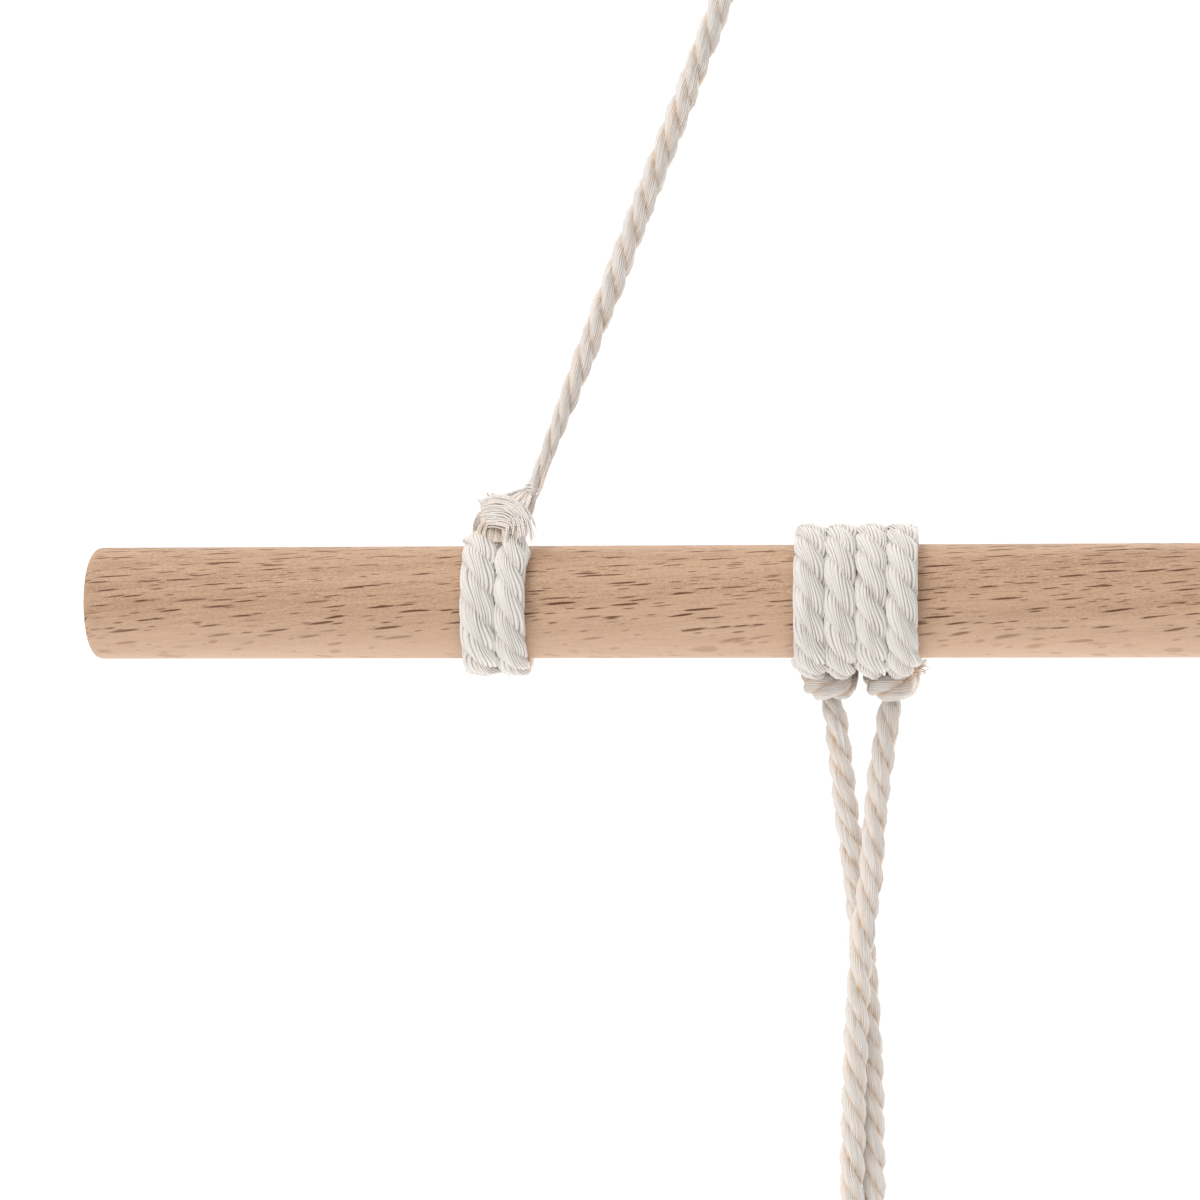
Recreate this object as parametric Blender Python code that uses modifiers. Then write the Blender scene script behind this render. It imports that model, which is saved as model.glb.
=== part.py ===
"""Macrame wall hanging on a wooden dowel, in metres, +Z up.

A beech dowel hangs level from one three-ply cotton cord, which is tied round it near each end and
rises to a point above its middle. Two more lengths of the same cord are mounted on the dowel, each
with two cow hitches side by side, so that four wraps show in front with two bars under them, and
its two ends cross once and hang down.

X runs along the dowel, the front faces -Y, and the origin is where the hanging cord lies on its nail.
"""
import math

import bpy
from mathutils import Vector

# ---- driving dimensions, in metres ----
DOWEL_DIAMETER = 0.0150
DOWEL_LENGTH = 0.3000
DOWEL_RIM = 0.0012              # rounding of each end's rim
DOWEL_SIDES = 40
HANG_HEIGHT = 0.2350            # from the nail down to the dowel's axis
NAIL_BEND = 0.0050              # radius of the hanging cord's centre line over the nail

CORD_RADIUS = 0.0017            # to the crests of its three plies
PLIES = 3
VALLEY = 0.66                   # the groove between two plies, as a share of the crest's radius
PRESSED = 0.26                  # how fast that groove fills as the cord is pressed flatter
LAY = 0.0117                    # length in which a ply goes once round
CLEARANCE = 0.0003              # between a cord and what it lies on

TIE_X = 0.0944                  # from the dowel's middle to the seam between a tie's two wraps
TIE_OUTER = 0.00225             # from the seam to the outer wrap, which has spread a little
TIE_OUTER_HALF = 0.0021         # its half width
TIE_INNER = 0.00195             # from the seam to the inner wrap, which is pulled up and narrower
TIE_INNER_HALF = 0.0018
GROUP_X = 0.0472                # from the dowel's middle to each mounted cord
WRAP_PITCH = 0.0040             # between neighbouring wraps of a mounted cord
LEAN = 0.0003                   # the bars sit this much to the right of the wraps

WRAP_DEPTH = 0.0023             # a mounted cord's wrap, pressed flat on the dowel
TIE_DEPTH = 0.0018              # a wrap of a tie, pulled tighter
SETTLE = 0.0001                 # kept free for the short straights between a wrap's rings
KNOT_RADIUS = 0.00122           # a cord squeezed where it passes through a knot
NECK_RADIUS = 0.00095           # the hanging cord, where it is bound above a tie
NECK = ((0.02, 0.0010), (0.05, 0.0013), (0.09, 0.0016), (0.13, CORD_RADIUS))
BAR_LAYER = 0.01185             # from the dowel's axis to the centre of a bar
BAND_LAYER = 0.0126             # the same, to the band round the foot of the hanging cord

STEPS_IN_KNOT = 8               # rings for each turn of the plies
STEPS_IN_RUN = 6
FINE_STEP = 0.0003              # between the points at which a cord's route is measured

# ---- dimensions that follow ----
DOWEL_RADIUS = DOWEL_DIAMETER / 2
DOWEL_Z = -HANG_HEIGHT
SEAT = DOWEL_RADIUS + CLEARANCE + SETTLE
WRAP_LAYER = SEAT + WRAP_DEPTH / 2
WRAP_HALF = (WRAP_PITCH - CLEARANCE) / 2
TIE_LAYER = SEAT + TIE_DEPTH / 2
FRONT = Vector((0.0, -1.0, 0.0))

# Each mounted cord: its middle, and how far its left and right ends reach below the dowel's axis.
MOUNTED_CORDS = {
    "mounted_cord_left": {"x": -GROUP_X, "left_end": 0.2010, "right_end": 0.1940},
    "mounted_cord_right": {"x": GROUP_X, "left_end": 0.1965, "right_end": 0.2030},
}

# The way of the two ends below the knot, in mm from the knot's middle and the dowel's axis. The
# right end passes in front of the left one and comes to hang on its left.
HANGING_WAY = (
    # depth, left x, left y, right x, right y
    (15.0, -3.2, 3.9, 4.1, 3.9),
    (21.0, -2.4, 4.1, 3.1, 3.6),
    (28.5, -1.6, 4.5, 2.2, 3.1),
    (36.5, -0.6, 5.1, 1.6, 2.0),
    (45.5, 0.4, 5.3, 0.4, 1.5),
    (55.0, 1.2, 5.1, -0.2, 1.7),
    (66.0, 1.65, 4.8, -0.7, 2.0),
    (79.0, 1.75, 4.6, -1.0, 2.2),
)


class Station:
    """One place on a cord: its point, its outward side, and its half width and half depth there."""

    def __init__(self, point, outward, half_width=CORD_RADIUS, half_depth=CORD_RADIUS):
        self.point = point
        self.outward = outward
        self.half_width = half_width
        self.half_depth = half_depth


def on_dowel(x, angle, layer=WRAP_LAYER, half_width=WRAP_HALF, half_depth=WRAP_DEPTH / 2):
    """A place round the dowel: the angle is 0 in front, 90 on top and -90 underneath."""
    turn = math.radians(angle)
    outward = Vector((0.0, -math.cos(turn), math.sin(turn)))
    middle = Vector((x, 0.0, DOWEL_Z))
    return Station(middle + outward * layer, outward, half_width, half_depth)


def in_air(x, y, below, radius=CORD_RADIUS):
    """A place clear of the dowel, with its depth below the dowel's axis."""
    return Station(Vector((x, y, DOWEL_Z - below)), FRONT, radius, radius)


def wrap(x, start, end, layer=WRAP_LAYER, half_width=WRAP_HALF, depth=WRAP_DEPTH, lean=0.0):
    """The even part of a wrap, from one angle to another. It starts at x + lean and comes to x."""
    count = max(1, round(abs(end - start) / 30))
    return [on_dowel(x + lean * (1 - i / count) ** 2, start + (end - start) * i / count, layer,
                     half_width, depth / 2) for i in range(count + 1)]


# ---- the routes of the cords ----
def mounted_half(group_x, side, way, end_below):
    """Half of a mounted cord, from the link behind the dowel out to the end of one strand."""
    mm = 0.001
    inner = group_x + side * WRAP_PITCH * 0.5
    outer = group_x + side * WRAP_PITCH * 1.5
    bar = group_x + LEAN
    squeezed = {"half_width": KNOT_RADIUS, "half_depth": KNOT_RADIUS}
    in_bar = {"layer": BAR_LAYER, "half_width": 0.0012, "half_depth": 0.00135}
    route = [
        on_dowel(group_x, -140, **squeezed),
        on_dowel(group_x + side * 1.5 * mm, -132, **squeezed),
        on_dowel(group_x + side * 2.0 * mm, -112, **squeezed),
        on_dowel(inner, -82, half_width=0.0015),
    ]
    route += wrap(inner, -55, 180)
    route += [
        on_dowel(inner, 196, WRAP_LAYER + 0.0010, 0.0016),
        on_dowel(bar + side * 1.60 * mm, 212, **in_bar),
        on_dowel(bar + side * 1.50 * mm, 232, **in_bar),
        on_dowel(bar + side * 1.65 * mm, 250, **in_bar),
        on_dowel(bar + side * 2.65 * mm, 263, **in_bar),
        on_dowel(bar + side * 4.10 * mm, 267, **in_bar),
        on_dowel(bar + side * 5.55 * mm, 263, **in_bar),
        on_dowel(bar + side * 6.60 * mm, 250, **in_bar),
        on_dowel(bar + side * 6.70 * mm, 232, **in_bar),
        on_dowel(bar + side * 6.40 * mm, 212, **in_bar),
        on_dowel(outer, 196, WRAP_LAYER + 0.0010, 0.0016),
    ]
    route += wrap(outer, 180, -55)
    route += [
        on_dowel(group_x + side * 5.6 * mm, -78, half_width=0.0014),
        on_dowel(group_x + side * 4.9 * mm, -98, WRAP_LAYER + 0.00025, **squeezed),
        in_air(bar + side * 4.15 * mm, 3.5 * mm, 10.4 * mm, 0.00105),
        in_air(bar + side * 4.1 * mm, 4.2 * mm, 12.6 * mm, 0.00115),
    ]
    for below, left_x, left_y, right_x, right_y in way:
        x, y = (left_x, left_y) if side < 0 else (right_x, right_y)
        route.append(in_air(group_x + x * mm, y * mm, below * mm))
    route.append(in_air(group_x + x * mm, y * mm, end_below))
    return route


def mounted_route(x, left_end, right_end):
    """A whole mounted cord, from the end of its left strand to the end of its right one."""
    left = mounted_half(x, -1, HANGING_WAY, left_end)
    right = mounted_half(x, 1, HANGING_WAY, right_end)
    return left[:0:-1] + right


def tie_route():
    """The left tie, from its tail to the foot of the hanging cord."""
    mm = 0.001
    left = -TIE_X - TIE_OUTER
    right = -TIE_X + TIE_INNER
    in_band = {"layer": BAND_LAYER, "half_width": 0.0017, "half_depth": 0.0013}
    tight = {"layer": TIE_LAYER, "depth": TIE_DEPTH}
    crossing = {"layer": TIE_LAYER, "half_width": TIE_INNER_HALF, "half_depth": TIE_DEPTH / 2}
    route = [
        on_dowel(-TIE_X + 5.6 * mm, 54, 0.0099, 0.0016, 0.0007),
        on_dowel(-TIE_X + 4.6 * mm, 61, 0.0115, 0.0017, 0.0010),
        on_dowel(-TIE_X + 3.2 * mm, 68, **in_band),
        on_dowel(-TIE_X + 1.3 * mm, 74, **in_band),
        on_dowel(-TIE_X - 0.6 * mm, 84, **in_band),
        on_dowel(-TIE_X - 1.7 * mm, 100, **in_band),
        on_dowel(-TIE_X - 1.9 * mm, 125, **in_band),
        on_dowel(-TIE_X - 2.3 * mm, 150, 0.0121, 0.0015, 0.0012),
        on_dowel(left - 0.6 * mm, 172, TIE_LAYER + 0.0012, 0.0017),
    ]
    route += wrap(left, 190, 420, half_width=TIE_OUTER_HALF, lean=-0.7 * mm, **tight)
    route += [
        on_dowel(left, 448, **crossing),
        on_dowel(left + 1.3 * mm, 474, **crossing),
        on_dowel(right - 1.8 * mm, 494, **crossing),
        on_dowel(right - 0.8 * mm, 520, **crossing),
    ]
    route += wrap(right, 545, 755, half_width=TIE_INNER_HALF, lean=-0.7 * mm, **tight)
    route += [
        on_dowel(right + 0.2 * mm, 778, TIE_LAYER + 0.0006, 0.0016),
        in_air(-TIE_X + 3.0 * mm, -0.2 * mm, -12.2 * mm, 0.00115),
        in_air(-TIE_X + 3.8 * mm, 0.0, -14.4 * mm, NECK_RADIUS),
    ]
    return route


def nail_bend(foot):
    """The hanging cord's straight run up from its foot, and half of its bend over the nail."""
    centre = Vector((0.0, 0.0, CORD_RADIUS - NAIL_BEND))
    reach = centre - foot
    lean = math.atan2(reach.x, reach.z) - math.asin(NAIL_BEND / reach.length)
    touch = centre + NAIL_BEND * Vector((-math.cos(lean), 0.0, math.sin(lean)))
    run = touch - foot
    straight = [Station(foot + run * share, FRONT, radius, radius) for share, radius in NECK]
    straight += [Station(foot + run * share, FRONT) for share in (0.25, 0.5, 0.75, 0.95, 0.985)]
    bend = []
    for share in (0.0, 0.33, 0.67, 1.0):
        angle = lean + (math.pi / 2 - lean) * share
        offset = Vector((-math.cos(angle), 0.0, math.sin(angle)))
        bend.append(Station(centre + NAIL_BEND * offset, FRONT))
    return straight + bend


def mirrored(station):
    """The same place on the other side of the dowel's middle."""
    flip = Vector((-1.0, 1.0, 1.0))
    return Station(station.point * flip, station.outward * flip,
                   station.half_width, station.half_depth)


def hanging_route():
    """The hanging cord, from the tail of its left tie over the nail to the tail of its right tie."""
    tie = tie_route()
    left = tie + nail_bend(tie[-1].point)
    return left + [mirrored(station) for station in left[-2::-1]]


# ---- from a route to a twisted cord ----
def heading(route, i):
    """The direction of the route at a station, from the runs before and after it."""
    before = route[i].point - route[max(i - 1, 0)].point
    after = route[min(i + 1, len(route) - 1)].point - route[i].point
    if not before.length:
        return after.normalized()
    if not after.length:
        return before.normalized()
    share = after.length / (before.length + after.length)
    return before.normalized() * share + after.normalized() * (1 - share)


def smooth_route(route):
    """The route's stations with short steps between them, on a curve through all of them."""
    fine = []
    for i in range(len(route) - 1):
        here, there = route[i], route[i + 1]
        run = (there.point - here.point).length
        leave, arrive = heading(route, i) * run, heading(route, i + 1) * run
        pieces = math.ceil(run / FINE_STEP)
        for k in range(pieces):
            t = k / pieces
            rise = t * t * (3 - 2 * t)
            point = here.point.lerp(there.point, rise)
            point += leave * (t * (1 - t) ** 2) - arrive * (t * t * (1 - t))
            fine.append(Station(
                point, here.outward.lerp(there.outward, t),
                here.half_width + (there.half_width - here.half_width) * t,
                here.half_depth + (there.half_depth - here.half_depth) * t))
    fine.append(route[-1])
    return fine


def is_squeezed(station):
    """True where the cord lies in a knot or a wrap."""
    return station.half_depth < 0.98 * CORD_RADIUS


def rings_along(route):
    """Stations one twist step apart, with the cord's direction and the turn of its plies."""
    fine = smooth_route(route)
    rings = []
    travelled = 0.0
    next_ring = 0.0
    for i, station in enumerate(fine):
        if i:
            travelled += (station.point - fine[i - 1].point).length
        last = i == len(fine) - 1
        if travelled >= next_ring or last:
            ahead = fine[min(i + 1, len(fine) - 1)].point - fine[max(i - 1, 0)].point
            turn = -2 * math.pi * travelled / LAY
            if last and travelled < next_ring - LAY / STEPS_IN_RUN / 2:
                rings.pop()
            rings.append((station, ahead.normalized(), turn))
            steps = STEPS_IN_KNOT if is_squeezed(station) else STEPS_IN_RUN
            next_ring = travelled + LAY / steps
    return rings


def ring_points(station, direction, turn):
    """The cord's section: a crest for each ply and a groove between them."""
    across = station.outward.cross(direction).normalized()
    outward = direction.cross(across)
    valley = VALLEY + PRESSED * (1.0 - station.half_depth / CORD_RADIUS)
    points = []
    for i in range(2 * PLIES):
        angle = turn + math.pi * i / PLIES
        share = 1.0 if i % 2 == 0 else valley
        points.append(station.point
                      + across * (math.cos(angle) * share * station.half_width)
                      + outward * (math.sin(angle) * share * station.half_depth))
    return points


def twisted_cord(name, route, material, collection):
    """One closed solid that follows the route, with its plies raised."""
    rings = rings_along(route)
    sides = 2 * PLIES
    points = [p for ring in rings for p in ring_points(*ring)]
    faces = []
    for r in range(len(rings) - 1):
        for i in range(sides):
            j = (i + 1) % sides
            a = r * sides
            b = a + sides
            faces.append((a + i, a + j, b + j, b + i))
    faces.append(tuple(reversed(range(sides))))
    faces.append(tuple(range(len(points) - sides, len(points))))
    mesh = bpy.data.meshes.new(name)
    mesh.from_pydata(points, [], faces)
    mesh.materials.append(material)
    mesh.shade_smooth()
    mesh.set_sharp_from_angle(angle=math.radians(60))
    cord = bpy.data.objects.new(name, mesh)
    collection.objects.link(cord)
    return cord


# ---- the dowel ----
def build_dowel(material, collection):
    """The round bar that the cords are tied to, with its rims eased."""
    bpy.ops.mesh.primitive_cylinder_add(
        vertices=DOWEL_SIDES, radius=DOWEL_RADIUS, depth=DOWEL_LENGTH,
        location=(0.0, 0.0, DOWEL_Z), rotation=(0.0, math.pi / 2, 0.0))
    dowel = bpy.context.object
    dowel.name = "dowel"
    rim = dowel.modifiers.new("rim", "BEVEL")
    rim.width = DOWEL_RIM
    rim.segments = 2
    rim.limit_method = "ANGLE"
    rim.angle_limit = math.radians(60)
    dowel.data.shade_smooth()
    dowel.data.set_sharp_from_angle(angle=math.radians(40))
    dowel.data.materials.append(material)
    for other in dowel.users_collection:
        other.objects.unlink(dowel)
    collection.objects.link(dowel)


def make_material(name, colour, roughness):
    """A plain Principled material."""
    material = bpy.data.materials.new(name)
    material.use_nodes = True
    shader = material.node_tree.nodes["Principled BSDF"]
    shader.inputs["Base Color"].default_value = (*colour, 1.0)
    shader.inputs["Roughness"].default_value = roughness
    shader.inputs["Metallic"].default_value = 0.0
    return material


def clear_scene():
    for thing in list(bpy.data.objects):
        bpy.data.objects.remove(thing, do_unlink=True)


def main():
    clear_scene()
    collection = bpy.data.collections.new("macrame_wall_hanging")
    bpy.context.scene.collection.children.link(collection)
    beech = make_material("beech", (0.56, 0.37, 0.24), 0.60)
    build_dowel(beech, collection)
    twisted_cord("hanging_cord", hanging_route(),
                 make_material("hanging_cotton", (0.78, 0.74, 0.68), 0.90), collection)
    for name, cord in MOUNTED_CORDS.items():
        route = mounted_route(cord["x"], cord["left_end"], cord["right_end"])
        twisted_cord(name, route,
                     make_material(name + "_cotton", (0.80, 0.76, 0.70), 0.90), collection)


main()
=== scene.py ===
# %% [markdown]
# # A macrame wall hanging on a wooden dowel
#
# The real thing is a beech dowel, 15 mm thick and 300 mm long, and three lengths of three-ply
# cotton cord. One cord is tied round the dowel near both ends and hangs on a nail. The other two
# are mounted on the dowel with cow hitches, and their ends hang down in crossed pairs.
#
# The solids of the construction are loaded first and stay where they are. Everything after that
# is dressing: it gives each cord its plies and yarns, and the dowel its grain.

# %% Load the fixed frame
import math
import random

import bpy
import numpy as np
from mathutils import Matrix, Vector


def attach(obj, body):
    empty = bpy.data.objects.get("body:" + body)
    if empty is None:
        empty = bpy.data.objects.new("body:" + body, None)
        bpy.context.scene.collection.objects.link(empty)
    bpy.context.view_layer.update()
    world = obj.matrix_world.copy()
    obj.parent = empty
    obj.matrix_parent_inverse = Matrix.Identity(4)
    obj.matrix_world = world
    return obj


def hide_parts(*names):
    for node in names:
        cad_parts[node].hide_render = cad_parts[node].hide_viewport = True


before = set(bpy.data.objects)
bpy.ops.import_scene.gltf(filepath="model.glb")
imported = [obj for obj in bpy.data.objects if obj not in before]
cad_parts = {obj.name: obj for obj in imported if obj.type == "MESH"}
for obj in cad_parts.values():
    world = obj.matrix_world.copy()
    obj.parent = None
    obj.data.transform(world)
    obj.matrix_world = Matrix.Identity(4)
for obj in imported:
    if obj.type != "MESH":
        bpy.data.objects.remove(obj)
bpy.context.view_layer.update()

BODY = "root"
MM = 0.001

# %% [markdown]
# ## Sizes
#
# A maker starts from the stock: the dowel and the cord. These are the driving sizes of the whole
# piece, and most other lengths are worked out from them. Nearly all are the same values that the
# solids were built from, so a dressed cord lies on its solid.

# %% Driving sizes, in metres
DOWEL_DIAMETER = 15.0 * MM
DOWEL_LENGTH = 300.0 * MM
DOWEL_RIM = 1.2 * MM
HANG_HEIGHT = 235.0 * MM
NAIL_BEND = 5.0 * MM

CORD_RADIUS = 1.7 * MM
PLIES = 3
LAY = 11.7 * MM
CLEARANCE = 0.3 * MM

TIE_X = 94.4 * MM                   # to the seam between the two wraps of a tie
GROUP_X = 47.2 * MM                 # to the middle of a mounted cord's four wraps
WRAP_PITCH = 4.0 * MM
LEAN = 0.3 * MM                     # of the bars, to the right of the wraps' middle

WRAP_DEPTH = 2.3 * MM
SPREAD = 1.6 * MM                   # how much wider a wrap's sides would be without its neighbours
TOUCH = 0.09 * MM                   # how far the fluff of two neighbours mixes
TIE_DEPTH = 1.8 * MM
SETTLE = 0.1 * MM
KNOT_RADIUS = 1.22 * MM
NECK_RADIUS = 0.95 * MM             # the hanging cord, where its binding holds it above a tie
NECK = ((0.02, 1.0 * MM), (0.05, 1.3 * MM), (0.09, 1.6 * MM), (0.13, CORD_RADIUS))
BAR_LAYER = 11.5 * MM               # the bars swell a little more than their solids, towards the wraps
BAND_LAYER = 12.6 * MM
FREE_ABOVE = 14.0 * MM              # above this the hanging cord is thin but not pressed

DOWEL_RADIUS = DOWEL_DIAMETER / 2
DOWEL_Z = -HANG_HEIGHT
SEAT = DOWEL_RADIUS + CLEARANCE + SETTLE
WRAP_LAYER = SEAT + WRAP_DEPTH / 2
WRAP_HALF = (WRAP_PITCH - CLEARANCE) / 2
TIE_LAYER = SEAT + TIE_DEPTH / 2
TIE_OUTER, TIE_OUTER_HALF = 2.25 * MM, 2.1 * MM  # from the seam to each wrap, and its half width
TIE_INNER, TIE_INNER_HALF = 1.95 * MM, 1.8 * MM
FRONT = Vector((0.0, -1.0, 0.0))
OPEN_ROOM = 6.0 * MM                # no neighbour presses the cord here
CROWDED_ROOM = 2.2 * MM             # the neighbours press it with all their force here
print("cord radius", CORD_RADIUS, "wrap layer", round(WRAP_LAYER, 5))

# %% [markdown]
# ## The camera
#
# The photograph is a close-up taken level with the dowel, a little from the right, so that the
# nearer right part looks slightly thicker. A 105 mm lens 46 cm away gives the same widening, and
# shows as much of the bars behind the wraps. The picture's middle lies on the dowel, 81 mm left of
# the nail.

# %% Place the camera
PHOTO_SIZE = 1200
FOCAL_PIXELS = 3491
CAMERA_DISTANCE = 465.0 * MM
CAMERA_AZIMUTH = math.radians(5.9)
CAMERA_ROLL = math.radians(0.16)
AIM = Vector((-81.4 * MM, 0.0, DOWEL_Z + 0.25 * MM))

camera = bpy.data.objects.new("camera", bpy.data.cameras.new("camera"))
camera.data.sensor_width = 36.0
camera.data.lens = 36.0 * FOCAL_PIXELS / PHOTO_SIZE
back = Vector((math.sin(CAMERA_AZIMUTH), -math.cos(CAMERA_AZIMUTH), 0.0))
camera.location = AIM + back * CAMERA_DISTANCE
camera.rotation_euler = (math.pi / 2, CAMERA_ROLL, CAMERA_AZIMUTH)
camera.data.clip_start = 0.01
bpy.context.scene.collection.objects.link(camera)
bpy.context.scene.camera = camera
print("lens", round(camera.data.lens, 1), "mm")

# %% [markdown]
# ## The routes of the cords
#
# A knot is a route in space. Each route is a short list of stations: a point, the side of the
# cord that faces outwards there, and how wide and deep the cord is pressed. Round the dowel a
# station is an angle and a layer, which is how a hand lays the cord. The real cord could be
# simulated, but a knot is known exactly from how it is tied, so its stations are listed one by one.

# %% Stations
class Station:
    """One place on a cord: its point, its outward side, and its half width and half depth there."""

    def __init__(self, point, outward, half_width=CORD_RADIUS, half_depth=CORD_RADIUS,
                 room=OPEN_ROOM):
        self.point = point
        self.outward = outward
        self.half_width = half_width
        self.half_depth = half_depth
        self.room = room                # half the width that the neighbours leave

    def sizes(self):
        return self.half_width, self.half_depth, self.room


def on_dowel(x, angle, layer=WRAP_LAYER, half_width=WRAP_HALF, half_depth=WRAP_DEPTH / 2,
             room=OPEN_ROOM):
    """A place round the dowel: the angle is 0 in front, 90 on top and -90 underneath."""
    turn = math.radians(angle)
    outward = Vector((0.0, -math.cos(turn), math.sin(turn)))
    middle = Vector((x, 0.0, DOWEL_Z))
    return Station(middle + outward * layer, outward, half_width, half_depth, room)


def in_air(x, y, below, radius=CORD_RADIUS):
    """A place clear of the dowel, with its depth below the dowel's axis."""
    return Station(Vector((x, y, DOWEL_Z - below)), FRONT, radius, radius)


def row(x, places, side=1, **pressed):
    """Places round the dowel, each given by its way from x in mm and its angle."""
    return [on_dowel(x + side * way * MM, angle, **pressed) for way, angle in places]


def wrap(x, start, end, layer=WRAP_LAYER, half_width=WRAP_HALF, depth=WRAP_DEPTH, lean=0.0):
    """The even part of a wrap, pressed by its neighbours. It starts at x + lean and comes to x."""
    count = max(1, round(abs(end - start) / 30))
    room = half_width + CLEARANCE / 2 + TOUCH
    return [on_dowel(x + lean * (1 - i / count) ** 2, start + (end - start) * i / count, layer,
                     half_width, depth / 2, room) for i in range(count + 1)]


print("a wrap from -55 to 180 degrees has", len(wrap(0.0, -55, 180)), "stations")

# %% [markdown]
# ### A mounted cord
#
# One length of cord is laid over the dowel four times. The outer and inner wraps of each side
# are joined by a bar that shows as a U below and behind them, and the two inner wraps are linked
# behind the dowel. Both ends come out from behind the bars, and the right one passes in front.

# %% The route of a mounted cord
MOUNTED_CORDS = {
    "mounted_cord_left": {"x": -GROUP_X, "left_end": 201.0 * MM, "right_end": 194.0 * MM},
    "mounted_cord_right": {"x": GROUP_X, "left_end": 196.5 * MM, "right_end": 203.0 * MM},
}

# The way of the two ends below the knot, in mm from the knot's middle and the dowel's axis.
HANGING_WAY = (
    # depth, left x, left y, right x, right y
    (15.0, -3.2, 3.9, 4.1, 3.9),
    (21.0, -2.4, 4.1, 3.1, 3.6),
    (28.5, -1.6, 4.5, 2.2, 3.1),
    (36.5, -0.6, 5.1, 1.6, 2.0),
    (45.5, 0.4, 5.3, 0.4, 1.5),
    (55.0, 1.2, 5.1, -0.2, 1.7),
    (66.0, 1.65, 4.8, -0.7, 2.0),
    (79.0, 1.75, 4.6, -1.0, 2.2),
)


def mounted_half(group_x, side, end_below):
    """Half of a mounted cord, from the link behind the dowel out to the end of one strand."""
    inner = group_x + side * WRAP_PITCH * 0.5
    outer = group_x + side * WRAP_PITCH * 1.5
    bar = group_x + LEAN
    squeezed = {"half_width": KNOT_RADIUS, "half_depth": KNOT_RADIUS}
    in_bar = {"layer": BAR_LAYER, "half_width": 1.25 * MM, "half_depth": 1.8 * MM}
    behind = 196, WRAP_LAYER + 1.0 * MM, 1.6 * MM
    route = row(group_x, ((0.0, -140), (1.5, -132), (2.0, -112)), side, **squeezed)
    route += [on_dowel(inner, -82, half_width=1.75 * MM), *wrap(inner, -55, 180),
              on_dowel(inner, *behind)]
    route += row(bar, ((1.60, 212), (1.50, 232), (1.65, 250), (2.65, 263), (4.10, 267),
                       (5.55, 263), (6.60, 250), (6.70, 232), (6.40, 212)), side, **in_bar)
    route += [on_dowel(outer, *behind), *wrap(outer, 180, -55)]
    route += [
        on_dowel(group_x + side * 5.7 * MM, -78, half_width=1.75 * MM),
        on_dowel(group_x + side * 4.9 * MM, -98, WRAP_LAYER + 0.25 * MM, **squeezed),
        in_air(bar + side * 4.15 * MM, 3.5 * MM, 10.4 * MM, 1.05 * MM),
        in_air(bar + side * 4.1 * MM, 4.2 * MM, 12.6 * MM, 1.15 * MM),
    ]
    for below, *ways in HANGING_WAY:
        x, y = ways[:2] if side < 0 else ways[2:]
        route.append(in_air(group_x + x * MM, y * MM, below * MM))
    return route + [in_air(group_x + x * MM, y * MM, end_below)]


def mounted_route(cord):
    """A whole mounted cord, from the end of its left strand to the end of its right one."""
    left = mounted_half(cord["x"], -1, cord["left_end"])
    right = mounted_half(cord["x"], 1, cord["right_end"])
    return left[:0:-1] + right


mounted_routes = {name: mounted_route(cord) for name, cord in MOUNTED_CORDS.items()}
print({name: len(route) for name, route in mounted_routes.items()}, "stations")

# %% [markdown]
# ### The hanging cord
#
# Each tie is a round turn: the tail goes over both wraps as a band, round the left wrap, across
# behind, round the right wrap and up. The straight runs meet in a small bend over the nail.

# %% The route of the hanging cord
def tie_route():
    """The left tie, from its tail to the foot of the hanging cord."""
    left = -TIE_X - TIE_OUTER
    right = -TIE_X + TIE_INNER
    in_band = {"layer": BAND_LAYER, "half_width": 1.7 * MM, "half_depth": 1.3 * MM}
    tight = {"layer": TIE_LAYER, "depth": TIE_DEPTH}
    crossing = {"layer": TIE_LAYER, "half_width": TIE_INNER_HALF, "half_depth": TIE_DEPTH / 2}
    route = [
        on_dowel(-TIE_X + 5.6 * MM, 54, 9.9 * MM, 1.6 * MM, 0.7 * MM),
        on_dowel(-TIE_X + 4.6 * MM, 61, 11.5 * MM, 1.7 * MM, 1.0 * MM),
    ]
    route += row(-TIE_X, ((3.2, 68), (1.3, 74), (-0.6, 84), (-1.7, 100), (-1.9, 125)), **in_band)
    route += [
        on_dowel(-TIE_X - 2.3 * MM, 150, 12.1 * MM, 1.5 * MM, 1.2 * MM),
        on_dowel(left - 0.6 * MM, 172, TIE_LAYER + 1.2 * MM, 1.7 * MM),
    ]
    route += wrap(left, 190, 420, half_width=TIE_OUTER_HALF, lean=-0.7 * MM, **tight)
    route += row(left, ((0.0, 448), (1.3, 474)), **crossing)
    route += row(right, ((-1.8, 494), (-0.8, 520)), **crossing)
    route += wrap(right, 545, 755, half_width=TIE_INNER_HALF, lean=-0.7 * MM, **tight)
    route += [
        on_dowel(right + 0.2 * MM, 778, TIE_LAYER + 0.6 * MM, 1.6 * MM),
        in_air(-TIE_X + 3.0 * MM, -0.2 * MM, -12.2 * MM, 1.15 * MM),
        in_air(-TIE_X + 3.8 * MM, 0.0, -14.4 * MM, NECK_RADIUS),
    ]
    return route


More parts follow.
